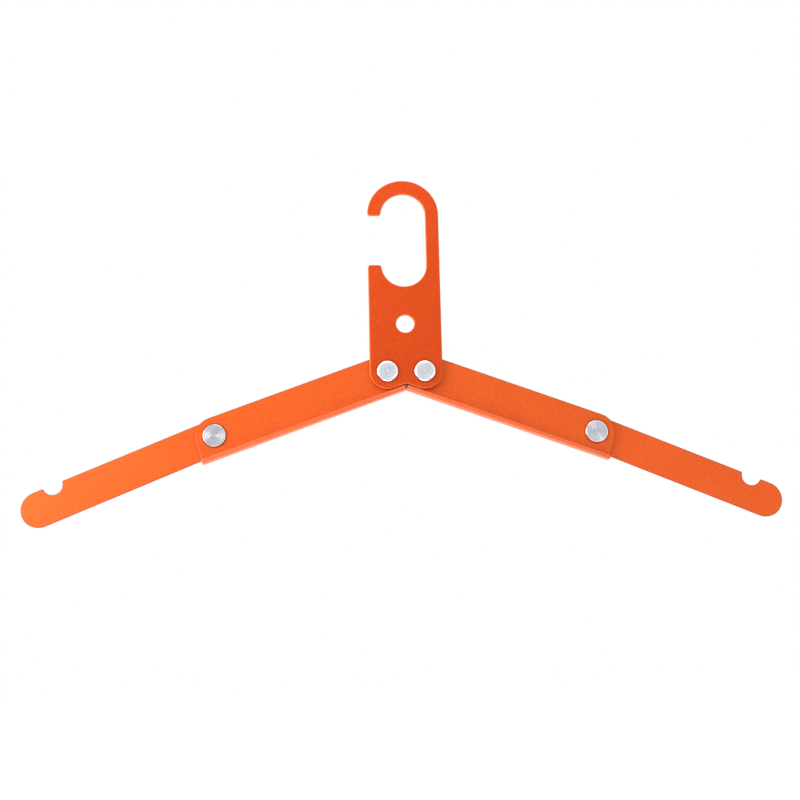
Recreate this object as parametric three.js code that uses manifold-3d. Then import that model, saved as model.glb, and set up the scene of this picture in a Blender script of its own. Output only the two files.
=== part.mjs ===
// Folding travel hanger: a flat hook plate that carries two arms, each arm folding in two.
// Lengths are millimetres. X is the span, +X to the right seen from the front. Y is the thickness, with the
// front at -Y, and Z is up. The origin is where the rail touches the hook, midway through the plate.
import * as THREE from "three";
import { mergeVertices } from "three/addons/utils/BufferGeometryUtils.js";
import Module from "manifold-3d";

const wasm = await Module();
wasm.setup();

// Sheet metal
const sheet = 1.5; // thickness of every plate and web
const easedEdge = 0.35; // radius along the cut edges, rounded by tumbling

// Pivots
const hookPivotSpacing = 18; // between the two rivets of the hook plate
const innerArmReach = 87.5; // hook rivet to elbow rivet
const outerArmReach = 87.5; // elbow rivet to the centre of the round tip
const innerArmSlope = THREE.MathUtils.degToRad(20); // below level when open
const outerArmDroop = THREE.MathUtils.degToRad(2.5); // below the line of the inner arm when open

// Hook plate, heights above the line of its rivets
const plateSideMargin = 8.5; // rivet axis to the plate's side
const lobeRadius = 8.6; // round end about each rivet
const seatHeight = 89.5; // where the rail rests
const crownWidth = 7; // metal above the rail
const barWidth = 6.5; // metal beside the rail, on the right
const hookTipWidth = 6.5;
const slotFootHeight = 42.2; // lowest point of the slot
const lipHeight = 53.1; // shoulder below the mouth
const hookCornerRadius = 1.3; // corners of the tip and of the lip
const lanyardHoleHeight = 23.45;
const lanyardHoleRadius = 4.4;

// Inner arms
const seamGap = 0.1; // between the two webs, open and folded
const flangeSeamGap = 0.2; // between the feet of the two flanges, which are cut square, when open
const flangeThickness = 2.05;
const flangeEndMargin = 9.55; // elbow rivet to the end of the flange
const flangeSetback = 0.3; // flange front behind the plate's front
const flangeEdgeRadius = 0.4;
const stopOverlap = 0.75; // how far the flange's rear lip reaches behind the outer arm's front
const lobeClearance = 0.35; // between the plate's lobes and the flange

// Outer arms
const outerArmHalfWidth = 8.4;
const strapNotchRadius = 4.7;
const strapNotchSetback = 9.7; // from the centre of the round tip back to the notch
const strapNotchCornerRadius = 0.5;

// Rivets: a post with a flat turned head, and a cap with a domed head whose pin is pressed into it
const shankRadius = 2.4;
const pinRadius = 1.4;
const flatHeadRadius = 5.4;
const flatHeadHeight = 0.8;
const flatHeadChamfer = 0.25;
const flatHeadDimple = 0.25; // lathe centre mark, depth and radius
const domedHeadRadius = 5.15;
const domedHeadHeight = 1.3;
const domedHeadRim = 0.35; // straight side under the dome
const domedHeadFlatRadius = 3.6;
const washerRadius = 4.6;
const pressGap = 0.15; // around a shank or pin
const pinEndGap = 0.5;
const foldClearance = 0.3; // between a rivet head and the plate that folds over it

// Roundness
const chordDepth = 0.025; // how far a straight facet may lie inside its arc
const turnedSides = 32;
const edgeSteps = 2; // facets across an eased edge

// What follows from the sizes above
const halfSpacing = hookPivotSpacing / 2;
const plateHalfWidth = halfSpacing + plateSideMargin;
const webTop = halfSpacing - seamGap / 2; // rivet axis to the web's upper edge
const flangeInner = lobeRadius + lobeClearance; // rivet axis to the flange's inner face
const flangeOuter = flangeInner + flangeThickness;
const washerHeight = flatHeadHeight + foldClearance;
const grip = sheet + washerHeight + sheet; // what every rivet holds together
const holeRadius = shankRadius + pressGap;
const armEnd = innerArmReach + flangeEndMargin;

// Places through the thickness, front to rear
const plateFront = -sheet / 2;
const plateRear = sheet / 2;
const webFront = plateRear + washerHeight;
const webRear = webFront + sheet;
const outerArmFront = webRear + washerHeight;
const outerArmRear = outerArmFront + sheet;
const flangeFront = plateFront + flangeSetback;
const flangeRear = outerArmFront + stopOverlap;

// Colours and finishes
const anodised = { roughness: 0.42, metalness: 0.55 };
const finishes = {
  plate: { color: "#e4551f", ...anodised },
  innerArm: { color: "#f2672f", ...anodised },
  outerArm: { color: "#f46c34", ...anodised },
  rivet: { color: "#c9ced6", roughness: 0.25, metalness: 1 },
  washer: { color: "#e9e6dc", roughness: 0.6, metalness: 0 },
};

function point(x, y) {
  return new THREE.Vector2(x, y);
}

function polar(centre, radius, angle) {
  return point(centre.x + radius * Math.cos(angle), centre.y + radius * Math.sin(angle));
}

// Points of an arc about a centre, both ends included. A negative sweep runs clockwise.
function arc(centre, radius, start, sweep) {
  const facetAngle = 2 * Math.acos(1 - chordDepth / radius);
  const steps = Math.max(1, Math.ceil(Math.abs(sweep) / facetAngle));
  return Array.from({ length: steps + 1 }, (unused, i) => polar(centre, radius, start + (sweep * i) / steps));
}

// The arc about a centre from one point to another, counter-clockwise, or clockwise if turn is -1.
function arcBetween(centre, from, to, turn = 1) {
  const start = from.clone().sub(centre);
  const end = to.clone().sub(centre);
  const fullTurn = 2 * Math.PI;
  const sweep = (((turn * (end.angle() - start.angle())) % fullTurn) + fullTurn) % fullTurn;
  return arc(centre, start.length(), start.angle(), turn * sweep);
}

// Centre of the round corner between a level edge and a circle. It lies at the given height, at the given
// distance from the circle's centre, to the right of it, or to the left if side is -1.
function cornerCentre(circle, height, distance, side) {
  const rise = height - circle.y;
  return point(circle.x + side * Math.sqrt(distance ** 2 - rise ** 2), height);
}

// Where a circle of the given radius touches a smaller circle with another centre.
function touch(circle, radius, otherCentre) {
  return polar(circle, radius, otherCentre.clone().sub(circle).angle());
}

function shapeWithHoles(outline, holes) {
  const shape = new THREE.Shape(outline);
  for (const { centre, radius } of holes) {
    shape.holes.push(new THREE.Path(arc(centre, radius, 0, -2 * Math.PI).slice(0, -1)));
  }
  return shape;
}

// A plate cut from sheet: an outline in X and Z, from its front to its rear along Y, with eased edges.
function plate(shape, front, rear, ease = easedEdge) {
  const geometry = new THREE.ExtrudeGeometry(shape, {
    depth: rear - front - 2 * ease,
    bevelEnabled: true,
    bevelThickness: ease,
    bevelSize: ease,
    bevelOffset: -ease,
    bevelSegments: edgeSteps,
  });
  const right = new THREE.Vector3(1, 0, 0);
  const up = new THREE.Vector3(0, 0, 1);
  const forward = new THREE.Vector3(0, -1, 0);
  geometry.applyMatrix4(new THREE.Matrix4().makeBasis(right, up, forward));
  return geometry.translate(0, rear - ease, 0);
}

// A piece turned about the Y axis from a profile of [radius, y] pairs.
function turned(profile) {
  return new THREE.LatheGeometry(profile.map(([radius, y]) => point(radius, y)), turnedSides);
}

function solidOf(geometry) {
  const bare = geometry.clone().deleteAttribute("normal").deleteAttribute("uv");
  const merged = mergeVertices(bare);
  const vertProperties = merged.attributes.position.array;
  const triVerts = new Uint32Array(merged.index.array);
  return new wasm.Manifold(new wasm.Mesh({ numProp: 3, vertProperties, triVerts }));
}

function geometryOf(solid) {
  const { vertProperties, triVerts } = solid.getMesh();
  const geometry = new THREE.BufferGeometry();
  geometry.setAttribute("position", new THREE.BufferAttribute(vertProperties, 3));
  geometry.setIndex(new THREE.BufferAttribute(triVerts, 1));
  geometry.computeVertexNormals();
  return geometry;
}

function node(name, geometry, finish) {
  const mesh = new THREE.Mesh(geometry, new THREE.MeshStandardMaterial(finish));
  mesh.name = name;
  return mesh;
}

// The hook: a slot open to the left, under a round crown, above a body that ends in two lobes.
function hookPlateOutline() {
  const crownCentre = point(0, seatHeight + crownWidth - plateHalfWidth);
  const slotRight = plateHalfWidth - barWidth;
  const slotLeft = plateHalfWidth - hookTipWidth;
  const seatRadius = (slotRight + slotLeft) / 2;
  const seatCentre = point((slotRight - slotLeft) / 2, seatHeight - seatRadius);
  const footCentre = point(0, slotFootHeight + slotRight);
  const tipHeight = seatCentre.y; // the tip is cut level with the centre of the seat's arc

  const tipCornerHeight = tipHeight + hookCornerRadius;
  const tipOuter = cornerCentre(crownCentre, tipCornerHeight, plateHalfWidth - hookCornerRadius, -1);
  const tipInner = cornerCentre(seatCentre, tipCornerHeight, seatRadius + hookCornerRadius, -1);
  const lipCornerHeight = lipHeight - hookCornerRadius;
  const lipInner = cornerCentre(footCentre, lipCornerHeight, slotRight + hookCornerRadius, -1);
  const lipOuter = point(hookCornerRadius - plateHalfWidth, lipCornerHeight);

  const tipAtCrown = touch(crownCentre, plateHalfWidth, tipOuter);
  const tipAtSeat = touch(seatCentre, seatRadius, tipInner);
  const lipAtFoot = touch(footCentre, slotRight, lipInner);

  const rightLobe = point(halfSpacing, 0);
  const leftLobe = point(-halfSpacing, 0);
  const lobeAtSide = Math.acos(plateSideMargin / lobeRadius);
  const lobeAtNotch = Math.PI / 2 + innerArmSlope; // the lobes run on in straight edges at the arms' slope
  const notchDrop = (lobeRadius - halfSpacing * Math.sin(innerArmSlope)) / Math.cos(innerArmSlope);

  return [
    point(0, -notchDrop),
    ...arc(rightLobe, lobeRadius, -lobeAtNotch, lobeAtNotch - lobeAtSide),
    ...arcBetween(crownCentre, point(plateHalfWidth, crownCentre.y), tipAtCrown),
    ...arcBetween(tipOuter, tipAtCrown, point(tipOuter.x, tipHeight)).slice(1),
    ...arcBetween(tipInner, point(tipInner.x, tipHeight), tipAtSeat),
    ...arcBetween(seatCentre, tipAtSeat, point(slotRight, seatCentre.y), -1).slice(1),
    ...arcBetween(footCentre, point(slotRight, footCentre.y), lipAtFoot, -1),
    ...arcBetween(lipInner, lipAtFoot, point(lipInner.x, lipHeight)).slice(1),
    ...arc(lipOuter, hookCornerRadius, Math.PI / 2, Math.PI / 2),
    ...arc(leftLobe, lobeRadius, Math.PI + lobeAtSide, lobeAtNotch - lobeAtSide),
  ];
}

function hookPlate() {
  const holes = [
    { centre: point(0, lanyardHoleHeight), radius: lanyardHoleRadius },
    { centre: point(-halfSpacing, 0), radius: holeRadius },
    { centre: point(halfSpacing, 0), radius: holeRadius },
  ];
  return plate(shapeWithHoles(hookPlateOutline(), holes), plateFront, plateRear);
}

// Arms are drawn level, reaching right from their rivet, and mirrored for the left side. The mirrored outline
// is reversed, so that it still runs counter-clockwise.
function mirrored(points, side) {
  const placed = points.map(({ x, y }) => point(side * x, y));
  return side < 0 ? placed.reverse() : placed;
}

// Distance along the level arm to an upright cut beside the hanger's middle, at a height across the arm.
function mitre(gap, height) {
  return (gap / 2 - halfSpacing - height * Math.sin(innerArmSlope)) / Math.cos(innerArmSlope);
}

// An inner arm: a flat web, round about its rivets, with a flange that stands forward to hold the folded
// plate and rearward to stop the outer arm.
function innerArm(side) {
  const rivet = point(0, 0);
  const elbow = point(innerArmReach, 0);
  const webFoot = flangeEdgeRadius - flangeOuter;
  const corner = point(armEnd, webFoot);
  const cornerReach = corner.clone().sub(elbow);
  const roundStart = cornerReach.angle() + Math.acos(webTop / cornerReach.length()) - 2 * Math.PI;
  const webOutline = [
    corner,
    ...arc(elbow, webTop, roundStart, Math.PI / 2 - roundStart),
    ...arc(rivet, webTop, Math.PI / 2, Math.PI / 2 + innerArmSlope),
    point(mitre(seamGap, webFoot), webFoot),
  ];
  const holes = [rivet, mirrored([elbow], side)[0]].map((centre) => ({ centre, radius: holeRadius }));
  const web = plate(shapeWithHoles(mirrored(webOutline, side), holes), webFront, webRear);
  const flangeStart = mitre(flangeSeamGap, -flangeOuter);
  const flangeOutline = [
    point(armEnd, -flangeOuter),
    point(armEnd, -flangeInner),
    point(flangeStart, -flangeInner),
    point(flangeStart, -flangeOuter),
  ];
  const flangeShape = new THREE.Shape(mirrored(flangeOutline, side));
  const flange = plate(flangeShape, flangeFront, flangeRear, flangeEdgeRadius);
  return geometryOf(solidOf(web).add(solidOf(flange)));
}

// An outer arm: a flat strip with round ends and a strap notch in its upper edge.
function outerArm(side) {
  const elbow = point(0, 0);
  const tip = point(outerArmReach, 0);
  const notch = point(outerArmReach - strapNotchSetback, outerArmHalfWidth);
  const cornerHeight = outerArmHalfWidth - strapNotchCornerRadius;
  const cornerDistance = strapNotchRadius + strapNotchCornerRadius;
  const outerCorner = cornerCentre(notch, cornerHeight, cornerDistance, 1);
  const innerCorner = cornerCentre(notch, cornerHeight, cornerDistance, -1);
  const outerTouch = touch(notch, strapNotchRadius, outerCorner);
  const innerTouch = touch(notch, strapNotchRadius, innerCorner);
  const outline = [
    ...arc(elbow, outerArmHalfWidth, Math.PI / 2, Math.PI),
    ...arc(tip, outerArmHalfWidth, -Math.PI / 2, Math.PI),
    ...arcBetween(outerCorner, point(outerCorner.x, outerArmHalfWidth), outerTouch),
    ...arcBetween(notch, outerTouch, innerTouch, -1).slice(1, -1),
    ...arcBetween(innerCorner, innerTouch, point(innerCorner.x, outerArmHalfWidth)),
  ];
  const holes = [{ centre: elbow, radius: holeRadius }];
  return plate(shapeWithHoles(mirrored(outline, side), holes), outerArmFront, outerArmRear);
}

// A rivet's post: its flat head ends at y zero and its tubular shank runs along +Y through all that it grips.
function rivetPost() {
  return turned([
    [0, flatHeadDimple - flatHeadHeight],
    [flatHeadDimple, -flatHeadHeight],
    [flatHeadRadius - flatHeadChamfer, -flatHeadHeight],
    [flatHeadRadius, flatHeadChamfer - flatHeadHeight],
    [flatHeadRadius, 0],
    [shankRadius, 0],
    [shankRadius, grip],
    [pinRadius + pressGap, grip],
    [pinRadius + pressGap, 0],
    [0, 0],
  ]);
}

// A rivet's cap: its domed head ends at y zero and its pin runs along +Y into the post.
function rivetCap() {
  const domeRise = domedHeadHeight - domedHeadRim;
  const domeRun = domedHeadRadius - domedHeadFlatRadius;
  const domeSteps = 4;
  const dome = Array.from({ length: domeSteps + 1 }, (unused, i) => {
    const angle = (i / domeSteps) * (Math.PI / 2);
    return [
      domedHeadFlatRadius + domeRun * Math.sin(angle),
      -domedHeadRim - domeRise * Math.cos(angle),
    ];
  });
  return turned([
    [0, -domedHeadHeight],
    ...dome,
    [domedHeadRadius, 0],
    [pinRadius, 0],
    [pinRadius, grip - pinEndGap],
    [0, grip - pinEndGap],
  ]);
}

function washer() {
  return turned([
    [holeRadius, 0],
    [washerRadius, 0],
    [washerRadius, washerHeight],
    [holeRadius, washerHeight],
    [holeRadius, 0],
  ]);
}

// A rivet and its spacer. The head towards the front sits on frontFace, the other on rearFace.
function rivetPieces(name, domeInFront, frontFace, rearFace) {
  const post = node(name + "_rivet_post", rivetPost(), finishes.rivet);
  const cap = node(name + "_rivet_cap", rivetCap(), finishes.rivet);
  const [front, rear] = domeInFront ? [cap, post] : [post, cap];
  front.position.y = frontFace;
  rear.position.y = rearFace;
  rear.rotation.x = Math.PI;
  const spacer = node(name + "_washer", washer(), finishes.washer);
  spacer.position.y = frontFace + sheet;
  return [post, cap, spacer];
}

// One side of the hanger, open: the inner arm turns about the hook rivet and carries the elbow rivet, and the
// outer arm turns about that.
function arms(name, side) {
  const inner = new THREE.Group();
  inner.position.x = side * halfSpacing;
  inner.rotation.y = side * innerArmSlope;
  inner.add(node(name + "_inner_arm", innerArm(side), finishes.innerArm));

  const elbow = new THREE.Group();
  elbow.position.x = side * innerArmReach;
  elbow.add(...rivetPieces(name + "_elbow", false, webFront, outerArmRear));

  const outer = new THREE.Group();
  outer.rotation.y = side * outerArmDroop;
  outer.add(node(name + "_outer_arm", outerArm(side), finishes.outerArm));

  elbow.add(outer);
  inner.add(elbow);
  return inner;
}

function hookRivet(name, side) {
  const rivet = new THREE.Group();
  rivet.position.x = side * halfSpacing;
  rivet.add(...rivetPieces(name + "_hook", true, plateFront, webRear));
  return rivet;
}

const hanger = new THREE.Group();
hanger.name = "folding_travel_hanger";
hanger.position.z = -seatHeight;
hanger.add(node("hook_plate", hookPlate(), finishes.plate));
for (const [name, side] of [["left", -1], ["right", 1]]) {
  hanger.add(hookRivet(name, side), arms(name, side));
}

export default hanger;
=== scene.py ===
# %% [markdown]
# # A folding travel hanger
# The real hanger is five flat pieces of orange anodised aluminium on four bright press rivets: a hook
# plate, two inner arms with a flange along the lower edge, and two outer arms with a strap notch. The
# measured model comes first, as a fixed frame. Its plates have their true shapes already, so they stay and
# get their finish here, while the rivets are turned again, finer than the frame has them.

# %% Load the frame
import math

import bpy
from mathutils import Matrix, Vector


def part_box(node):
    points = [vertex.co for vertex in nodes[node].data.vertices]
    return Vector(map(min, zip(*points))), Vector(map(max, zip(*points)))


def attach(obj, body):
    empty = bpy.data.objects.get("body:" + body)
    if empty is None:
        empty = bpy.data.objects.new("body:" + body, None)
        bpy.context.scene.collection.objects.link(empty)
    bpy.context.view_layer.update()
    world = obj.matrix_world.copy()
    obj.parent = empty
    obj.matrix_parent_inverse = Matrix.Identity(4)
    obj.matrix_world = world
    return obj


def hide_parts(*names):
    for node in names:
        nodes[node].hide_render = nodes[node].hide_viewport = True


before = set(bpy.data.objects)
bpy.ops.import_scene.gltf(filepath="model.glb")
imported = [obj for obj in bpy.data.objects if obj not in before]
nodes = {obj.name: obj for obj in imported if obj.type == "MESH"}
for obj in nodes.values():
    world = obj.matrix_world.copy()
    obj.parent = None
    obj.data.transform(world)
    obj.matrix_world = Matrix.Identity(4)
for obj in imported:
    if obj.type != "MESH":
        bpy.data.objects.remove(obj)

scene = bpy.context.scene
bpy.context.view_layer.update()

# %% [markdown]
# ## The camera
# The photo looks at the hanger from the front and a little from below, which shows the undersides of the
# flanges. A camera can be placed by eye, or worked out from points that are known on the object and found
# in the photo. Here yaw, pitch, roll and distance come from the rivets, the lanyard hole and the straight
# edges.

# %% Set up the camera
LOOKED_AT = Vector((0, 0, -0.1093))  # between the hook rivets and the elbows
YAW = math.radians(3.534)
PITCH = math.radians(11.422)
ROLL = math.radians(1.251)
# How far the point looked at is from the camera, along the camera's own right, down and forward
SIDEWAYS, DOWNWARDS, DISTANCE = 0.003404, 0.005643, 0.571551
FOCAL_LENGTH_MM = 54
SENSOR_WIDTH_MM = 36


def camera_axes(yaw, pitch, roll):
    """Right, down and forward of a camera that looks along +Y when its angles are zero."""
    forward = Vector((math.sin(yaw) * math.cos(pitch), math.cos(yaw) * math.cos(pitch), math.sin(pitch)))
    level = Vector((math.cos(yaw), -math.sin(yaw), 0))
    steep = forward.cross(level)
    right = math.cos(roll) * level + math.sin(roll) * steep
    down = -math.sin(roll) * level + math.cos(roll) * steep
    return right, down, forward


right, down, forward = camera_axes(YAW, PITCH, ROLL)
camera_data = bpy.data.cameras.new("camera")
camera_data.lens = FOCAL_LENGTH_MM
camera_data.sensor_width = SENSOR_WIDTH_MM
camera = bpy.data.objects.new("camera", camera_data)
scene.collection.objects.link(camera)
standing = LOOKED_AT - (SIDEWAYS * right + DOWNWARDS * down + DISTANCE * forward)
turn = Matrix((right, -down, -forward)).transposed()
camera.matrix_world = Matrix.Translation(standing) @ turn.to_4x4()
scene.camera = camera
print("camera stands at", [round(value, 4) for value in standing])

# %% [markdown]
# ## Writing nodes as sums
# Shader and geometry trees are easier to read as arithmetic than as boxes and wires. `Number` wraps one
# socket, and Python's operators on it add Math nodes. Each operator has its reflected form, so that a plain
# number may stand first, as in `1 - mask`. `Bench.node` makes any other node: it takes the kind of node, then
# its settings, then the values or wires of its sockets. The rest of `Bench` is short forms for the nodes
# that are needed often.

# %% Helpers that write nodes
# A Mix node has sockets for numbers and for colours under the same names, so the sockets go by their places
MIX_SHARE, MIX_FIRST, MIX_SECOND, MIX_RESULT = 0, 6, 7, 2


class Number:
    """One value on its way through a node tree."""

    def __init__(self, bench, socket):
        self.bench = bench
        self.socket = socket

    def math(self, operation, *values):
        """This value after a Math node, which may take further values."""
        return self.bench.math(operation, self, *values)

    def __add__(self, other):
        return self.math("ADD", other)

    def __sub__(self, other):
        return self.math("SUBTRACT", other)

    def __rsub__(self, other):
        return self.bench.math("SUBTRACT", other, self)

    def __mul__(self, other):
        return self.math("MULTIPLY", other)

    def __truediv__(self, other):
        return self.math("DIVIDE", other)

    def __rtruediv__(self, other):
        return self.bench.math("DIVIDE", other, self)

    def __pow__(self, other):
        return self.math("POWER", other)

    def __rpow__(self, other):
        return self.bench.math("POWER", other, self)

    def __neg__(self):
        return self.math("MULTIPLY", -1.0)

    def __abs__(self):
        return self.math("ABSOLUTE")

    __radd__ = __add__
    __rmul__ = __mul__

    def clamped(self):
        """This value, kept between 0 and 1."""
        return self.math("MAXIMUM", 0.0).math("MINIMUM", 1.0)


class Bench:
    """Writes the nodes of one tree."""

    def __init__(self, tree):
        self.tree = tree

    def node(self, kind, settings=None, sockets=None):
        """A new node, with its settings made and its sockets filled or wired."""
        made = self.tree.nodes.new(kind)
        for name, value in (settings or {}).items():
            if name == "curve":
                write_curve(made.mapping, value)
            else:
                setattr(made, name, value)
        for key, value in (sockets or {}).items():
            wired = getattr(value, "socket", value)
            if isinstance(wired, bpy.types.NodeSocket):
                self.tree.links.new(wired, made.inputs[key])
            else:
                made.inputs[key].default_value = wired
        return made

    def number(self, kind, settings=None, sockets=None):
        """The first output of a new node, ready for sums."""
        return Number(self, self.node(kind, settings, sockets).outputs[0])

    def math(self, operation, *values):
        """The result of a Math node."""
        return self.number("ShaderNodeMath", {"operation": operation}, dict(enumerate(values)))

    def mixed(self, share, first, second):
        """A colour between two colours: all of the second where the share is 1."""
        sockets = {MIX_SHARE: share, MIX_FIRST: first, MIX_SECOND: second}
        return self.node("ShaderNodeMix", {"data_type": "RGBA"}, sockets).outputs[MIX_RESULT]

    def split(self, vector):
        """The x, y and z of a vector, ready for sums."""
        made = self.node("ShaderNodeSeparateXYZ", sockets={0: vector})
        return [Number(self, socket) for socket in made.outputs]

    def offset(self, place, centre):
        """The vector from a centre to a place."""
        made = self.node("ShaderNodeVectorMath", {"operation": "SUBTRACT"}, {0: place, 1: centre})
        return made.outputs[0]


def write_curve(mapping, values):
    """Sets a Float Curve to straight runs through evenly spaced values."""
    points = mapping.curves[0].points
    last = len(values) - 1
    for i, value in enumerate(values):
        if i in (0, last):
            points[0 if i == 0 else -1].location = (i / last, value)
        else:
            points.new(i / last, value)
    for bend in points:
        bend.handle_type = "VECTOR"
    mapping.update()


def distance(one, other):
    """The length of the straight line whose two legs are given."""
    return (one * one + other * other) ** 0.5


# %% [markdown]
# ## The room
# The photo has a pure white background. More light would give it too, but it would bleach the hanger. So the
# world gives it: it is white where the camera or a reflection looks at it, and a plain softer white where it
# only lights the hanger.

# %% White surroundings
WHITE = (1.0, 1.0, 1.0, 1.0)
ROOM_LIGHT = 0.34

world = bpy.data.worlds.new("white_room")
scene.world = world
world.use_nodes = True
world.node_tree.nodes.clear()
bench = Bench(world.node_tree)


def looked_at(bench):
    """1 where the camera, a reflection or a clear body looks, and 0 where the ray only gathers light."""
    rays = bench.node("ShaderNodeLightPath").outputs
    seen = bench.math("MAXIMUM", rays["Is Camera Ray"], rays["Is Glossy Ray"])
    return seen.math("MAXIMUM", rays["Is Transmission Ray"])


strength = ROOM_LIGHT + looked_at(bench) * (1 - ROOM_LIGHT)
sky = bench.node("ShaderNodeBackground", sockets={"Color": WHITE, "Strength": strength})
bench.node("ShaderNodeOutputWorld", sockets={"Surface": sky.outputs[0]})
scene.view_settings.view_transform = "Standard"
print("surroundings:", world.name, "which lights the hanger at", ROOM_LIGHT)

# %% [markdown]
# ## The floor
# A wide pale floor lies well below the hanger. Pale paint alone would end in a grey horizon when the hanger
# is seen from the side. So the paint also glows where it is looked at: gently below the hanger, which keeps
# its shadow there, and fully far away, where no lamp reaches and the floor melts into the white.

# %% Lay the floor
FLOOR_HEIGHT = -0.6
FLOOR_HALF_WIDTH = 9.0
FLOOR_GREY = (0.86, 0.86, 0.86, 1)
FLOOR_ROUGHNESS = 0.9
NEAR_GLOW = (0.32, 0.32, 0.32, 1)
FAR_GLOW = (0.72, 0.72, 0.72, 1)
GLOW_START, GLOW_SPREAD = 0.35, 1.6

floor_mesh = bpy.data.meshes.new("floor")
corner_signs = ((-1, -1), (1, -1), (1, 1), (-1, 1))
corners = [(x * FLOOR_HALF_WIDTH, y * FLOOR_HALF_WIDTH, FLOOR_HEIGHT) for x, y in corner_signs]
floor_mesh.from_pydata(corners, [], [(0, 1, 2, 3)])
floor = bpy.data.objects.new("floor", floor_mesh)
scene.collection.objects.link(floor)

floor_paint = bpy.data.materials.new("floor_paint")
floor_paint.use_nodes = True
floor_paint.node_tree.nodes.clear()
bench = Bench(floor_paint.node_tree)
x, y, _ = bench.split(bench.node("ShaderNodeTexCoord").outputs["Object"])
far = ((distance(x, y) - GLOW_START) / GLOW_SPREAD).clamped()
glow = bench.mixed(far, NEAR_GLOW, FAR_GLOW)
lit = bench.node("ShaderNodeBsdfPrincipled", sockets={"Base Color": FLOOR_GREY, "Roughness": FLOOR_ROUGHNESS})
glowing = bench.node("ShaderNodeEmission", sockets={"Color": glow, "Strength": looked_at(bench)})
paint = bench.node("ShaderNodeAddShader", sockets={0: lit.outputs[0], 1: glowing.outputs[0]})
bench.node("ShaderNodeOutputMaterial", sockets={"Surface": paint.outputs[0]})
floor_mesh.materials.append(floor_paint)
print("floor lies", -FLOOR_HEIGHT, "m below the rail")

# %% [markdown]
# ## Soft lamps
# Soft lamps model the shapes. The strongest light on the front comes from the left, as in the photo, where
# the left arm is brighter than the right one. One large lamp right below lights the undersides of the
# flanges, as a white table would, and one small lamp at the lower right draws the streak across the turned
# head of the right elbow.

# %% Hang the lamps
MIDDLE = (0, 0, -0.09)
HOOK = (0, 0, -0.03)
LEFT_ARM = (-0.12, 0, -0.12)
RIGHT_ELBOW = (0.091, 0, -0.119)
RIGHT_TIP = (0.18, 0, -0.15)

# Each lamp: its name, its place, what it points at, its width in metres and its watts.
LAMPS = (
    ("key_lamp", (-0.70, -0.62, 0.20), MIDDLE, 0.7, 0.9),
    ("side_lamp", (-0.40, -0.20, -0.06), LEFT_ARM, 0.3, 1.7),
    ("glint_lamp", (0.262, -0.351, -0.205), RIGHT_ELBOW, 0.05, 0.05),
    ("top_lamp", (-0.03, -0.22, 0.24), HOOK, 0.25, 0.42),
    ("fill_lamp", (0.35, -1.0, 0.05), MIDDLE, 0.8, 0.70),
    ("tip_lamp", (0.36, -0.10, -0.12), RIGHT_TIP, 0.1, 0.035),
    ("low_lamp", (-0.05, -0.02, -0.57), MIDDLE, 0.6, 2.2),
    ("rear_lamp", (0.4, 0.9, 0.4), MIDDLE, 0.8, 4.5),
)


def soft_lamp(name, place, aim, width, watts):
    """A square lamp that the camera can't see, turned to what it points at."""
    light = bpy.data.lights.new(name, "AREA")
    light.shape = "SQUARE"
    light.size = width
    light.energy = watts
    lamp = bpy.data.objects.new(name, light)
    scene.collection.objects.link(lamp)
    lamp.location = place
    lamp.rotation_euler = (Vector(aim) - Vector(place)).to_track_quat("-Z", "Y").to_euler()
    lamp.visible_camera = False
    return lamp


lamps = [soft_lamp(*lamp) for lamp in LAMPS]
print("lamps:", {lamp.name: round(lamp.data.energy, 3) for lamp in lamps})

# %% [markdown]
# ## Anodised aluminium
# The plates are stamped, blasted with fine beads, dyed in the anodising bath and sealed. That leaves an
# even satin orange with a grain of tiny pits and slightly uneven dye. Flat paint would look like plastic.
# Here the metal shows through a thin clear coat, and noise makes the pits and the uneven dye.
#
# The rounded edges are painted another colour. On the hook plate it is lighter, a painted highlight that is
# partly the real polish of the edge. On the arms it is darker, a painted shade that stands for a dark
# reflection from above, most of all along their upper edges. They are found by the direction that the surface
# faces. The flange is painted paler on its front and underside, a painted sheen of light from below, and
# darker at its sawn end, a painted shade in the gap between the two flange ends. Last, a thin dark ring is
# painted around each rivet head, a painted shadow of the head.

# %% The anodised finish
# Three noises, from fine to wide, and what they do to the surface and to the dye
PITS_PER_METRE, SPECKS_PER_METRE, CLOUDS_PER_METRE = 2600, 900, 28
PIT_DEPTH = 0.00001
PIT_RELIEF, SPECK_RELIEF = 0.7, 0.6
PIT_TINT, SPECK_TINT, CLOUD_TINT = 1.2, 1.0, 0.5
DEEP_DYE_SHARE, LIGHT_DYE_SHARE, LIGHT_DYE_LIFT = 0.80, 1.16, 0.010
SATIN_ROUGHNESS, SPECK_ROUGHNESS, CLOUD_ROUGHNESS, EDGE_POLISH = 0.40, 0.14, 0.08, 0.06
NOISE_MIDDLE = 0.5

# Where the eased edges end, by how far the surface faces the front or the rear
TO_FRONT, TO_FRONT_BLEND = 0.98, 0.06
TO_SIDE, TO_SIDE_BLEND = 0.10, 0.15

# The flange: its front stands further forward than FLANGE_RIM, and it is sawn off at the hanger's middle. Its
# front part and underside are painted paler, a painted sheen of light from below
FLANGE_SHEEN_COLOUR = (0.985, 0.255, 0.125, 1)
FLANGE_RIM, RIM_STEP = 0.0010, 0.00025
RIM_SHARE, UNDERSIDE_SHARE = 0.35, 0.75
# The painted shade in the gap between the sawn ends of the two flanges
SEAM_SHADE_WIDTH, SEAM_SHADE_BLEND = 0.00045, 0.0003

# The painted shadow in a thin ring outside a rivet head, and the colour of all painted shade
SHADOW_RING_OFFSET, SHADOW_RING_WIDTH, SHADOW_RING_STRENGTH = 0.0003, 0.0005, 0.75
PAINTED_SHADE_COLOUR = (0.30, 0.016, 0.002, 1)


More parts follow.
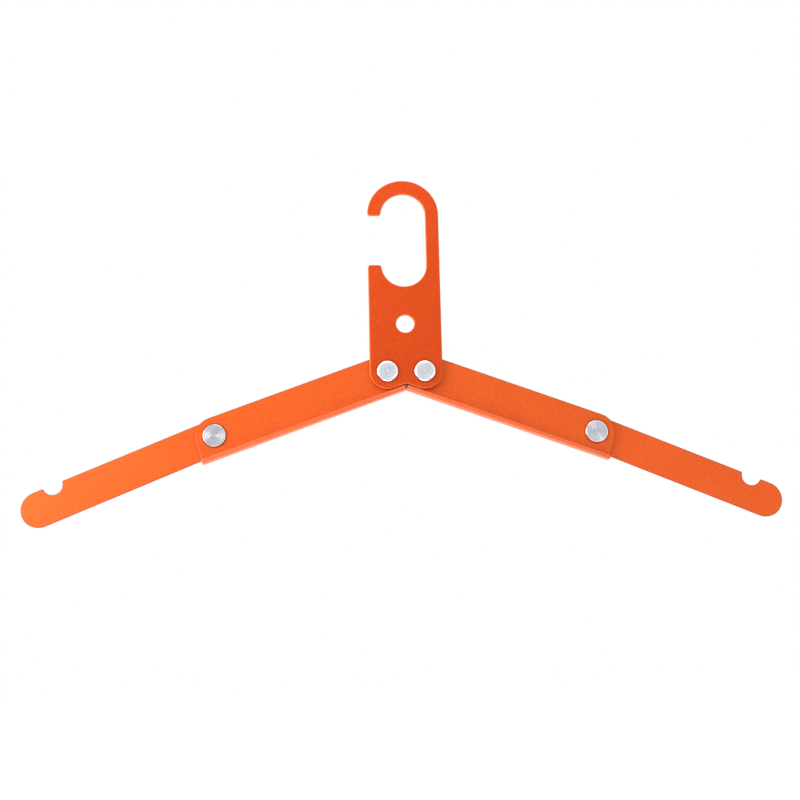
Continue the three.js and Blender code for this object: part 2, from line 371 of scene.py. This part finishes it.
def new_finish(name):
    """A material without nodes, and the bench to write them on."""
    finish = bpy.data.materials.new(name)
    finish.use_nodes = True
    finish.node_tree.nodes.clear()
    return finish, Bench(finish.node_tree)


def noise(bench, place, per_metre, detail=2.0):
    """A cloudy pattern of about so many spots to the metre."""
    sockets = {"Vector": place, "Scale": per_metre, "Detail": detail, "Roughness": 0.6}
    return bench.number("ShaderNodeTexNoise", sockets=sockets)


def swing(pattern, reach):
    """A noise made to swing both ways about zero."""
    return (pattern - NOISE_MIDDLE) * reach


def cut_edges(bench, facing):
    """1 on the eased edges of a plate, whose surface faces between front and side, and 0 elsewhere."""
    across = abs(bench.split(facing)[1])
    off_the_front = ((TO_FRONT - across) / TO_FRONT_BLEND).clamped()
    off_the_side = ((across - TO_SIDE) / TO_SIDE_BLEND).clamped()
    return off_the_front * off_the_side


def painted_head_shadows(bench, place, rivets):
    """A painted shadow: 1 in a thin ring close around each rivet head, on both sides of the hanger, and 0
    elsewhere.
    """
    x, _, z = bench.split(place)
    painted_shade = None
    for middle, head_radius in rivets:
        from_head = distance(abs(x) - abs(middle.x), z - middle.z) - (head_radius + SHADOW_RING_OFFSET)
        ring = (1 - abs(from_head) / SHADOW_RING_WIDTH).clamped()
        painted_shade = ring if painted_shade is None else painted_shade.math("MAXIMUM", ring)
    return painted_shade


def painted_flange_sheen(bench, place, facing):
    """A painted sheen: how far an inner arm is paler, on the flange's front part and where it faces down."""
    forward_part = ((FLANGE_RIM - bench.split(place)[1]) / RIM_STEP).clamped()
    underside = (-bench.split(facing)[2]).clamped()
    return (forward_part * RIM_SHARE).math("MAXIMUM", underside * UNDERSIDE_SHARE)


def anodised(name, colour, painted_edge_sheen_and_shade, painted_edge_shares, rivets, flanged=False):
    """Orange anodised aluminium. The shares say how far side and upper edges take the painted edge colour."""
    finish, bench = new_finish(name)
    coordinates = bench.node("ShaderNodeTexCoord").outputs
    place, facing = coordinates["Object"], coordinates["Normal"]
    pits = noise(bench, place, PITS_PER_METRE)
    specks = noise(bench, place, SPECKS_PER_METRE, detail=3.0)
    clouds = noise(bench, place, CLOUDS_PER_METRE)
    # The edge colour is painted light: a highlight on the hook plate, a shade on the arms, most where edges
    # face up
    upward = bench.split(facing)[2].clamped()
    side_share, upper_share = painted_edge_shares
    edges = cut_edges(bench, facing) * (side_share + upward * (upper_share - side_share))
    # Painted shadow around each rivet head
    painted_shade = painted_head_shadows(bench, place, rivets) * SHADOW_RING_STRENGTH

    deep = [value * DEEP_DYE_SHARE for value in colour] + [1]
    light = [min(1.0, value * LIGHT_DYE_SHARE + LIGHT_DYE_LIFT) for value in colour] + [1]
    dye = NOISE_MIDDLE + swing(clouds, CLOUD_TINT) + swing(specks, SPECK_TINT) + swing(pits, PIT_TINT)
    tint = bench.mixed(edges, bench.mixed(dye.clamped(), deep, light), [*painted_edge_sheen_and_shade, 1])
    if flanged:
        # Painted sheen on the flange's front part and underside
        tint = bench.mixed(painted_flange_sheen(bench, place, facing), tint, FLANGE_SHEEN_COLOUR)
        # Painted shade in the gap where the two flanges end, in the same dark colour as the rings
        seam_shade = ((SEAM_SHADE_WIDTH - abs(bench.split(place)[0])) / SEAM_SHADE_BLEND).clamped()
        painted_shade = painted_shade.math("MAXIMUM", seam_shade)
    unevenness = swing(specks, SPECK_ROUGHNESS) + swing(clouds, CLOUD_ROUGHNESS)
    bump = bench.node(
        "ShaderNodeBump",
        sockets={"Strength": 1.0, "Distance": PIT_DEPTH, "Height": pits * PIT_RELIEF + specks * SPECK_RELIEF},
    )
    metal = bench.node(
        "ShaderNodeBsdfPrincipled",
        sockets={
            # The painted shade darkens the colour around the rivet heads and at the flange ends
            "Base Color": bench.mixed(painted_shade, tint, PAINTED_SHADE_COLOUR),
            "Metallic": 0.35,
            "Roughness": SATIN_ROUGHNESS + unevenness - edges * EDGE_POLISH,
            "Normal": bump.outputs[0],
            "Specular IOR Level": 0.06,
            "Coat Weight": 0.12,
            "Coat Roughness": 0.35,
        },
    )
    bench.node("ShaderNodeOutputMaterial", sockets={"Surface": metal.outputs[0]})
    return finish


def turned_place(name):
    """The middle of a turned piece of the frame, seen from the front, and its radius."""
    low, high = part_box(name)
    return Vector(((low.x + high.x) / 2, 0, (low.z + high.z) / 2)), (high.x - low.x) / 2


hook_cap = turned_place("right_hook_rivet_cap")
hook_post = turned_place("right_hook_rivet_post")
elbow_post = turned_place("right_elbow_rivet_post")
elbow_cap = turned_place("right_elbow_rivet_cap")
# The plate's paler edge colour is a painted highlight, and the arms' dark edge colour is a painted shade
finishes = {
    "plate": anodised(
        "anodised_plate",
        colour=(0.665, 0.064, 0.002),
        painted_edge_sheen_and_shade=(0.930, 0.240, 0.080),
        painted_edge_shares=(0.6, 0.6),
        rivets=[hook_cap],
    ),
    "inner_arm": anodised(
        "anodised_inner_arm",
        colour=(0.795, 0.110, 0.012),
        painted_edge_sheen_and_shade=(0.300, 0.060, 0.035),
        painted_edge_shares=(0.38, 0.95),
        rivets=[hook_post, elbow_post],
        flanged=True,
    ),
    "outer_arm": anodised(
        "anodised_outer_arm",
        colour=(0.825, 0.113, 0.014),
        painted_edge_sheen_and_shade=(0.300, 0.070, 0.040),
        painted_edge_shares=(0.8, 0.95),
        rivets=[elbow_cap],
    ),
}
print("anodised finishes:", sorted(finishes))

# %% [markdown]
# ## Shading of the plates
# The frame holds each plate as loose triangles, with its rounded edges modelled. Joined up, the round ends
# and edges can be shaded smoothly, while the flat faces stay flat. A modifier does that without touching
# the frame's own mesh: a small Geometry Nodes tree shades all faces smooth, then marks as sharp each edge
# that turns by more than a given angle, and each edge around a flat front or rear face.

# %% A tree that shades by angle
FLAT_FACING = 0.9999  # how squarely a face looks to the front or rear to count as flat
RIM_ANGLE = math.radians(8)


def new_tree(name):
    """A tree of geometry nodes, with a way in and a way out for the geometry."""
    tree = bpy.data.node_groups.new(name, "GeometryNodeTree")
    tree.interface.new_socket("Geometry", in_out="OUTPUT", socket_type="NodeSocketGeometry")
    tree.interface.new_socket("Geometry", in_out="INPUT", socket_type="NodeSocketGeometry")
    return tree


def add_inputs(tree, inputs):
    """Named inputs of a tree, each given as its name and its kind of socket."""
    for name, kind in inputs:
        tree.interface.new_socket(name, in_out="INPUT", socket_type="NodeSocket" + kind)


def crisp(bench, geometry, sharp_angle):
    """Smooth faces, with sharp edges where the surface turns steeply and around its flat faces."""
    smooth = bench.node("GeometryNodeSetShadeSmooth", sockets={"Geometry": geometry, "Shade Smooth": True})
    angle = bench.number("GeometryNodeInputMeshEdgeAngle")
    facing = abs(bench.split(bench.node("GeometryNodeInputNormal").outputs["True Normal"])[1])
    beside_flat = bench.node(
        "GeometryNodeFieldOnDomain",
        {"data_type": "BOOLEAN", "domain": "FACE"},
        {0: facing.math("GREATER_THAN", FLAT_FACING)},
    )
    rim = angle.math("GREATER_THAN", RIM_ANGLE) * beside_flat.outputs[0]
    steep = angle.math("GREATER_THAN", sharp_angle)
    marked = bench.node(
        "GeometryNodeSetShadeSmooth",
        {"domain": "EDGE"},
        {"Geometry": smooth.outputs[0], "Selection": steep.math("MAXIMUM", rim), "Shade Smooth": False},
    )
    return marked.outputs[0]


def finish_tree(bench, geometry, material):
    """The end of every tree: real faces that carry their material."""
    real = bench.node("GeometryNodeRealizeInstances", sockets={0: geometry})
    painted = bench.node(
        "GeometryNodeSetMaterial",
        sockets={"Geometry": real.outputs[0], "Material": material},
    )
    bench.node("NodeGroupOutput", sockets={0: painted.outputs[0]})


shading = new_tree("shade_by_angle")
add_inputs(shading, [("Sharp Angle", "Float"), ("Material", "Material")])
bench = Bench(shading)
given = bench.node("NodeGroupInput").outputs
finish_tree(bench, crisp(bench, given["Geometry"], given["Sharp Angle"]), given["Material"])
print("tree:", shading.name)

# %% [markdown]
# ## Finishing the plates
# The two arms of each kind come out of one bath, so they share a finish. The plates could be modelled again
# here, but the frame's have the right shapes. So each keeps its mesh and gets its material and two
# modifiers, one that joins the loose triangles and one that shades them.

# %% Finish the plates
SHARP_ANGLE = math.radians(50)
JOIN_DISTANCE = 0.000002


def add_tree(piece, tree, values):
    """Adds a tree as a modifier and sets its inputs, by the identifiers of their sockets."""
    modifier = piece.modifiers.new(tree.name, "NODES")
    modifier.node_group = tree
    for socket in tree.interface.items_tree:
        if socket.in_out == "INPUT" and socket.name in values:
            modifier[socket.identifier] = values[socket.name]
    return modifier


def finish_node(name, material):
    """Gives a piece of the frame its material, joins its triangles and shades it."""
    piece = nodes[name]
    piece.data.materials.clear()
    piece.data.materials.append(material)
    join = piece.modifiers.new("join_triangles", "WELD")
    join.merge_threshold = JOIN_DISTANCE
    add_tree(piece, shading, {"Sharp Angle": SHARP_ANGLE, "Material": material})


finish_node("hook_plate", finishes["plate"])
for side in ("left", "right"):
    finish_node(side + "_inner_arm", finishes["inner_arm"])
    finish_node(side + "_outer_arm", finishes["outer_arm"])
print("plates finished, with edges sharp above", round(math.degrees(SHARP_ANGLE)), "degrees")

# %% [markdown]
# ## Spacer washers
# A thin washer sits between the plates on every rivet, so that an arm can fold past the rivet heads.
# Moulded nylon is usual: it slides well and doesn't wear the finish. It is a natural white, slightly
# mottled, with fine rings from the mould. The frame's washers have the right shape, so they only need this
# finish.

# %% The nylon finish
MOULD_RINGS_PER_METRE, NYLON_GRAIN_PER_METRE = 2500, 1400
MOULD_DEPTH, RING_RELIEF = 0.00002, 0.3
NYLON_DEEP = (0.74, 0.72, 0.66, 1)
NYLON_LIGHT = (0.88, 0.87, 0.82, 1)
NYLON_ROUGHNESS, GRAIN_ROUGHNESS = 0.5, 0.15


def nylon(name, centre):
    """Natural nylon, with mould rings around the given centre."""
    finish, bench = new_finish(name)
    place = bench.node("ShaderNodeTexCoord").outputs["Object"]
    grain = noise(bench, place, NYLON_GRAIN_PER_METRE, detail=3.0)
    x, _, z = bench.split(bench.offset(place, centre))
    rings = (distance(x, z) * (MOULD_RINGS_PER_METRE * 2 * math.pi)).math("SINE")
    bump = bench.node(
        "ShaderNodeBump",
        sockets={"Distance": MOULD_DEPTH, "Height": rings * RING_RELIEF + grain},
    )
    plastic = bench.node(
        "ShaderNodeBsdfPrincipled",
        sockets={
            "Base Color": bench.mixed(grain, NYLON_DEEP, NYLON_LIGHT),
            "Roughness": NYLON_ROUGHNESS + grain * GRAIN_ROUGHNESS,
            "Normal": bump.outputs[0],
        },
    )
    bench.node("ShaderNodeOutputMaterial", sockets={"Surface": plastic.outputs[0]})
    return finish


for side in ("left", "right"):
    for hinge in ("hook", "elbow"):
        washer = f"{side}_{hinge}_washer"
        finish_node(washer, nylon("nylon_" + washer, turned_place(washer)[0]))
print("washers finished:", sum(name.endswith("_washer") for name in nodes))

# %% [markdown]
# ## Rivets
# Each press rivet is two halves turned on a lathe: a post with a flat head and a tubular shank, and a cap
# with a domed head and a pin that is pressed into the post. A turned piece follows a rule, a profile
# carried once round an axis. Each station of a profile is written as shares of named sizes, so that one
# profile serves heads of any size. The frame has the same rivets with plainer faces. Here the rims are
# rounder, and the faces have fine grooves and the lathe's centre mark.

# %% The profiles
SIDES = 96  # around the axis
STEPS = 32  # along a profile. A curve is stored in 256 steps, so each eighth one is a station

# A station of a profile has a share of each of these sizes, in this order
SIZES = ("Head Radius", "Head Height", "Shank Radius", "Shank Length", "Bore Radius")

# Grooves in a face, as shares of the head's radius, and their depth as a share of its height
GROOVE_SHARES = (0.22, 0.38, 0.54)
GROOVE_HALF_WIDTH_SHARE = 0.012
GROOVE_DEPTH_SHARE = 0.02

# The domed head: its flat face as a share of the radius, and its straight side as a share of the height
DOME_FACE_SHARE, DOME_SIDE_SHARE = 0.706, 0.27
DOME_STEPS = 9


def groove(share):
    """A fine groove in a turned face."""
    return [
        (share - GROOVE_HALF_WIDTH_SHARE, 1, 0, 0, 0),
        (share, 1 - GROOVE_DEPTH_SHARE, 0, 0, 0),
        (share + GROOVE_HALF_WIDTH_SHARE, 1, 0, 0, 0),
    ]


def grooves():
    """The stations of all grooves in one face."""
    return [station for share in GROOVE_SHARES for station in groove(share)]


def dome_rim(step):
    """A station of the quarter round between the domed head's face and its side."""
    angle = step / DOME_STEPS * math.pi / 2
    out = DOME_FACE_SHARE + (1 - DOME_FACE_SHARE) * math.sin(angle)
    up = DOME_SIDE_SHARE + (1 - DOME_SIDE_SHARE) * math.cos(angle)
    return (out, up, 0, 0, 0)


def domed_shares():
    """From the middle of the domed face over the rounded rim, under the head and down the pin."""
    return [
        (0, 0.90, 0, 0, 0),
        (0.035, 0.91, 0, 0, 0),
        (0.07, 1, 0, 0, 0),
        *grooves(),
        *[dome_rim(step) for step in range(DOME_STEPS + 1)],
        (1, 0.05, 0, 0, 0),
        (0.985, 0, 0, 0, 0),
        (0, 0, 1, 0, 0),
        (0, 0, 1, 0.95, 0),
        (0, 0, 0.85, 1, 0),
        (0, 0, 0, 1, 0),
    ]


def flat_shares():
    """From the centre mark over the chamfered rim, under the head, along the shank and into its bore."""
    return [
        (0, 0.69, 0, 0, 0),
        (0.02, 0.80, 0, 0, 0),
        (0.045, 1, 0, 0, 0),
        *grooves(),
        (0.80, 1, 0, 0, 0),
        (0.945, 1, 0, 0, 0),
        (0.960, 0.975, 0, 0, 0),
        (0.990, 0.74, 0, 0, 0),
        (1, 0.68, 0, 0, 0),
        (1, 0.06, 0, 0, 0),
        (0.99, 0, 0, 0, 0),
        (0, 0, 1, 0, 0),
        (0, 0, 1, 0.97, 0),
        (0, 0, 0.94, 1, 0),
        (0, 0, 0, 1, 1),
        (0, 0, 0, 0, 1),
        (0, 0, 0, 0, 0),
    ]


def padded_out(stations):
    """The stations, with the last one repeated until there is one for every row of the grid."""
    return stations + [stations[-1]] * (STEPS + 1 - len(stations))


profiles = {"domed": padded_out(domed_shares()), "flat": padded_out(flat_shares())}
print("stations of the profiles:", {name: len(stations) for name, stations in profiles.items()})

# %% [markdown]
# ## The lathe
# A Screw modifier could turn a profile that is drawn for each head. A Geometry Nodes tree takes the sizes as
# inputs, so one tree turns all heads of a kind: a grid is rolled up, its columns going round and its rows
# along the profile, which Float Curves hold. The same tree then sets a copy on every point that it is
# given, and stores the copy's place, because the finish needs to know where the axis is.

# %% The lathe tree
MERGE_DISTANCE = 0.000001
GRID_HALF = 0.5  # the grid reaches this far to each side of its middle


def lathe_tree(name, stations):
    """A tree that turns one profile and sets a copy on each point of the mesh that it is given."""
    tree = new_tree(name)
    add_inputs(tree, [(size, "Float") for size in SIZES])
    add_inputs(tree, [("Sides", "Int"), ("Facing", "Rotation")])
    add_inputs(tree, [("Sharp Angle", "Float"), ("Material", "Material")])
    bench = Bench(tree)
    given = bench.node("NodeGroupInput").outputs
    columns = bench.math("ADD", given["Sides"], 1)
    grid = bench.node(
        "GeometryNodeMeshGrid",
        sockets={
            "Size X": 2 * GRID_HALF,
            "Size Y": 2 * GRID_HALF,
            "Vertices X": columns,
            "Vertices Y": STEPS + 1,
        },
    )
    across, along, _ = bench.split(bench.node("GeometryNodeInputPosition").outputs[0])
    turn = (across + GRID_HALF) * (2 * math.pi)
    station = along + GRID_HALF
    shares = [
        bench.number("ShaderNodeFloatCurve", {"curve": [row[i] for row in stations]}, {"Value": station})
        for i in range(len(SIZES))
    ]
    head_radius, head_height, shank_radius, shank_length, bore_radius = (
        share * given[size] for share, size in zip(shares, SIZES)
    )
    radius = head_radius + shank_radius + bore_radius
    sideways = radius * turn.math("COSINE")
    rearward = shank_length - head_height
    upward = -(radius * turn.math("SINE"))
    place = bench.node("ShaderNodeCombineXYZ", sockets={0: sideways, 1: rearward, 2: upward})
    rolled = bench.node(
        "GeometryNodeSetPosition",
        sockets={"Geometry": grid.outputs[0], "Position": place.outputs[0]},
    )
    closed = bench.node(
        "GeometryNodeMergeByDistance",
        sockets={"Geometry": rolled.outputs[0], "Distance": MERGE_DISTANCE},
    )
    one = crisp(bench, closed.outputs[0], given["Sharp Angle"])
    copies = bench.node(
        "GeometryNodeInstanceOnPoints",
        sockets={"Points": given["Geometry"], "Instance": one, "Rotation": given["Facing"]},
    )
    centre = bench.node("GeometryNodeInputPosition").outputs[0]
    named = bench.node(
        "GeometryNodeStoreNamedAttribute",
        {"data_type": "FLOAT_VECTOR", "domain": "INSTANCE"},
        {"Geometry": copies.outputs[0], "Name": "rivet_centre", "Value": centre},
    )
    finish_tree(bench, named.outputs[0], given["Material"])
    return tree


lathes = {name: lathe_tree("turned_" + name + "_half", stations) for name, stations in profiles.items()}
print("lathe trees:", [tree.name for tree in lathes.values()])

# %% [markdown]
# ## Turned nickel
# The rivets are steel or brass with a bright nickel finish. A lathe leaves rings too fine to see one by
# one, and together they spread a highlight into a bow tie, as on a record. As real grooves they would need
# far too many faces. So they are a bump pattern on the distance from the rivet's own axis, which the tree
# stored with every copy. The flat heads are left as the lathe faced them and the caps are polished, so the
# rings of the flat heads are deeper. The press's punch leaves a duller ring around the middle.

# %% The turned finish
# The paler rim nickel is a painted reflection besides the rim's real polish, and a lower shade paints a
# greyer face
NICKEL = (0.60, 0.61, 0.66)
NICKEL_DULL = (0.45, 0.46, 0.50)
NICKEL_RIM_SHEEN = (0.83, 0.83, 0.85)
RING_PITCH = 0.00018
RIM_BLEND = 0.0011
PUNCH_RADIUS, PUNCH_WIDTH = 0.0014, 0.0011  # the ring that the press's punch leaves around the middle
UNEVEN_PER_METRE, SMEARS_PER_METRE = 3200.0, 420
RINGS_RELIEF, UNEVEN_RELIEF = 0.7, 0.3
UNEVEN_TINT, SMEAR_TINT, PUNCH_TINT, TINT_OFFSET = 0.9, 0.5, 0.35, 0.1
UNEVEN_ROUGHNESS, SMEAR_ROUGHNESS, RIM_POLISH = 0.08, 0.10, 0.08


def turned_metal(name, ring_depth, face_radius, shade, roughness):
    """Bright nickel with fine turned rings on its face, and a smooth rim outside it whose paler colour is a
    painted reflection.
    """
    finish, bench = new_finish(name)
    place = bench.node("ShaderNodeTexCoord").outputs["Object"]
    centre = bench.node("ShaderNodeAttribute", {"attribute_name": "rivet_centre"}).outputs["Vector"]
    x, _, z = bench.split(bench.offset(place, centre))
    radius = distance(x, z)
    rings = (radius * (2 * math.pi / RING_PITCH)).math("SINE")
    uneven = bench.number(
        "ShaderNodeTexNoise",
        {"noise_dimensions": "1D"},
        {"W": radius, "Scale": UNEVEN_PER_METRE, "Detail": 3.0, "Roughness": 0.7},
    )
    smears = noise(bench, place, SMEARS_PER_METRE)
    rim = ((radius - face_radius) / RIM_BLEND).clamped()
    punched = (1 - abs(radius - PUNCH_RADIUS) / PUNCH_WIDTH).clamped()
    brightness = uneven * UNEVEN_TINT + smears * SMEAR_TINT - TINT_OFFSET - punched * PUNCH_TINT
    # Painted reflection: the shade makes a face greyer, and the rim is mixed toward a paler nickel
    dull, bright = ([value * shade for value in colour] + [1] for colour in (NICKEL_DULL, NICKEL))
    face_tint = bench.mixed(brightness.clamped(), dull, bright)
    relief = rings * RINGS_RELIEF + uneven * UNEVEN_RELIEF
    bump = bench.node(
        "ShaderNodeBump",
        sockets={"Strength": 1.0, "Distance": ring_depth, "Height": relief * (1 - rim)},
    )
    unevenness = swing(smears, SMEAR_ROUGHNESS) + swing(uneven, UNEVEN_ROUGHNESS)
    metal = bench.node(
        "ShaderNodeBsdfPrincipled",
        sockets={
            "Base Color": bench.mixed(rim, face_tint, [*NICKEL_RIM_SHEEN, 1]),
            "Metallic": 1.0,
            "Roughness": roughness + unevenness - rim * RIM_POLISH,
            "Normal": bump.outputs[0],
        },
    )
    bench.node("ShaderNodeOutputMaterial", sockets={"Surface": metal.outputs[0]})
    return finish


polished_cap = turned_metal(
    "turned_nickel_cap",
    ring_depth=0.000009,
    face_radius=0.0036,
    shade=1.02,
    roughness=0.22,
)
# The posts' lower shade paints their faces greyer, a painted dark reflection
faced_post = turned_metal(
    "turned_nickel_post",
    ring_depth=0.0000115,
    face_radius=0.0047,
    shade=0.82,
    roughness=0.20,
)
print("turned finishes:", polished_cap.name, faced_post.name)

# %% [markdown]
# ## Turning the rivets
# The hook rivets show their domed caps at the front, and the elbow rivets their flat posts, as in the
# photo. Each half goes where the frame has its own, which it then stands for. The trees could stay live,
# but the export needs plain meshes. So the lathe's result becomes one plain mesh for all like halves that
# ride on one body.

# %% Turn the rivets
SHANK_RADIUS = 0.0024
PIN_RADIUS = 0.0014
PRESS_GAP = 0.00015  # around the pin, in the post's bore
GRIP = 0.0041  # two plates and the washer between them
PIN_END_GAP = 0.0005  # between the pin's end and the post's head
DOMED_HEIGHT = 0.0013
FLAT_HEIGHT = 0.0008
SLIDE_GAP = 0.000005  # under each head, so that an arm turns beneath it without cutting in

# How a half is turned, so that its head faces the front or the rear
FORWARD = (0, 0, 0)
REARWARD = (math.pi, 0, 0)

# Each shank is given by its radius, its length and the radius of its bore
halves = {
    "cap": {
        "tree": lathes["domed"],
        "material": polished_cap,
        "height": DOMED_HEIGHT,
        "shank": (PIN_RADIUS, GRIP - PIN_END_GAP, 0.0),
    },
    "post": {
        "tree": lathes["flat"],
        "material": faced_post,
        "height": FLAT_HEIGHT,
        "shank": (SHANK_RADIUS, GRIP, PIN_RADIUS + PRESS_GAP),
    },
}


def turn_halves(name, body, half, faces_front, stood_for):
    """One mesh of all the like rivet halves that ride on one body, in the place of the frame's own."""
    head_height = half["height"] - SLIDE_GAP
    shank_radius, shank_length, bore_radius = half["shank"]
    points = []
    for node in stood_for:
        low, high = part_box(node)
        middle, head_radius = turned_place(node)
        seat = low.y + head_height if faces_front else high.y - head_height
        points.append(middle + Vector((0, seat, 0)))
    seats = bpy.data.meshes.new(name + "_seats")
    seats.from_pydata(points, [], [])
    maker = bpy.data.objects.new(name + "_maker", seats)
    scene.collection.objects.link(maker)
    values = {
        "Head Radius": head_radius,
        "Head Height": head_height,
        "Shank Radius": shank_radius,
        "Shank Length": shank_length,
        "Bore Radius": bore_radius,
        "Sides": SIDES,
        "Facing": FORWARD if faces_front else REARWARD,
        "Sharp Angle": SHARP_ANGLE,
        "Material": half["material"],
    }
    modifier = add_tree(maker, half["tree"], values)
    made = bpy.data.meshes.new_from_object(maker.evaluated_get(bpy.context.evaluated_depsgraph_get()))
    maker.modifiers.remove(modifier)
    bpy.data.objects.remove(maker)
    piece = bpy.data.objects.new(name, made)
    scene.collection.objects.link(piece)
    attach(piece, body)
    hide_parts(*stood_for)
    print(name, "faces:", len(made.polygons), "head radius in mm:", round(head_radius * 1000, 3))


hook_caps = ["left_hook_rivet_cap", "right_hook_rivet_cap"]
hook_posts = ["left_hook_rivet_post", "right_hook_rivet_post"]
turn_halves("hook_rivet_caps", "hook", halves["cap"], True, hook_caps)
turn_halves("hook_rivet_posts", "hook", halves["post"], False, hook_posts)
for side in ("left", "right"):
    post = [side + "_elbow_rivet_post"]
    cap = [side + "_elbow_rivet_cap"]
    turn_halves(side + "_elbow_post", side + "_inner", halves["post"], True, post)
    turn_halves(side + "_elbow_cap", side + "_inner", halves["cap"], False, cap)
